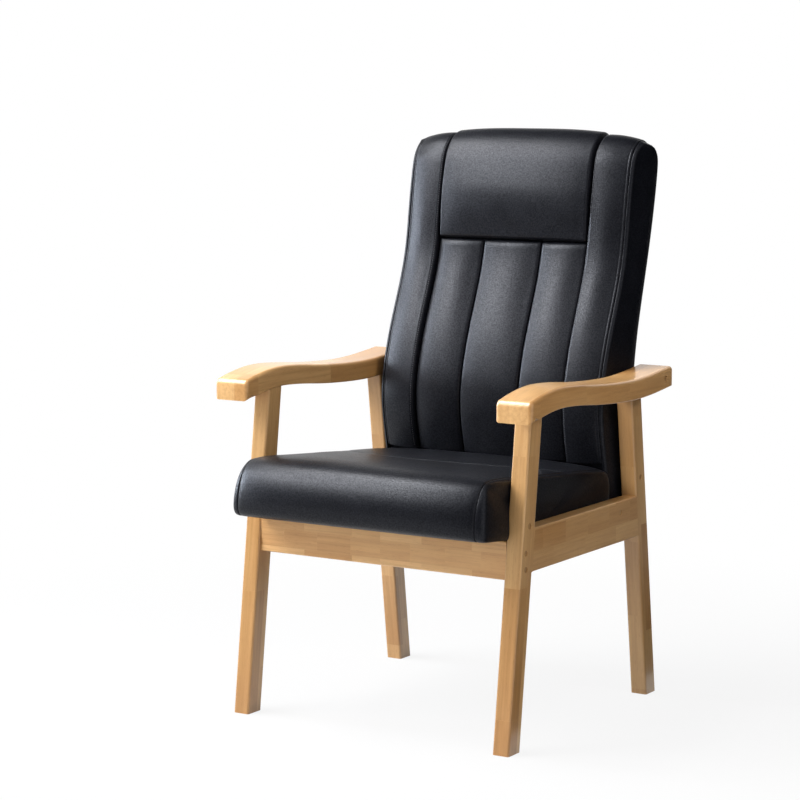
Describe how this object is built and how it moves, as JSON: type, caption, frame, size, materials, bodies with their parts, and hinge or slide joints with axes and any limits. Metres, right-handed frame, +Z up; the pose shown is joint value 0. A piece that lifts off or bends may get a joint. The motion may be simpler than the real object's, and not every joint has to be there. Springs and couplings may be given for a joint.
{
  "type": "conference chair",
  "caption": "High-back conference armchair: raked wooden side frames with curved armrests, a padded black seat and a reclined back with a head pillow, channels and bolsters.",
  "frame": {"origin": "on the floor under the middle of the chair's outer box", "axes": "+Z up, +X across the chair to the right of someone who faces it, -Y the way the sitter looks"},
  "size_m": [0.672, 0.7006, 1.0818],
  "materials": {
    "frame_wood": "clear lacquered rubberwood, glossy",
    "inner_wood": "planed, unfinished",
    "plywood": "unfinished",
    "black_leather": "fine pebble grain, semi-gloss",
    "foam": "open-cell foam",
    "dust_cloth": "non-woven, matte",
    "steel": "zinc plated"
  },
  "bodies": {
    "root": {"front_leg_left": "frame_wood", "front_leg_right": "frame_wood", "rear_leg_left": "frame_wood", "rear_leg_right": "frame_wood", "side_rail_left": "frame_wood", "side_rail_right": "frame_wood", "armrest_left": "frame_wood", "armrest_right": "frame_wood", "front_rail": "frame_wood", "arm_dowels": "inner_wood", "front_rail_bolts": "steel", "front_rail_barrel_nuts": "steel", "seat_bolts": "steel", "seat_insert_nuts": "steel", "back_bolts_lower": "steel", "back_bolts_upper": "steel", "back_insert_nuts": "steel", "bolt_plugs": "frame_wood", "seat_batten_left": "inner_wood", "seat_batten_right": "inner_wood", "seat_batten_front": "inner_wood", "seat_batten_rear": "inner_wood", "seat_board": "plywood", "seat_board_screws": "steel", "seat_cushion": "black_leather", "seat_dust_cover": "dust_cloth", "back_stile_left": "inner_wood", "back_stile_right": "inner_wood", "back_rail_bottom": "inner_wood", "back_rail_middle": "inner_wood", "back_rail_top": "inner_wood", "back_board": "plywood", "back_board_screws": "steel", "back_foam": "foam", "back_side_panel_left": "black_leather", "back_side_panel_right": "black_leather", "back_rear_cover": "black_leather", "head_pillow": "black_leather", "back_channel_left": "black_leather", "back_channel_center": "black_leather", "back_channel_right": "black_leather", "back_bolster_left": "black_leather", "back_bolster_right": "black_leather"}
  },
  "joints": []
}
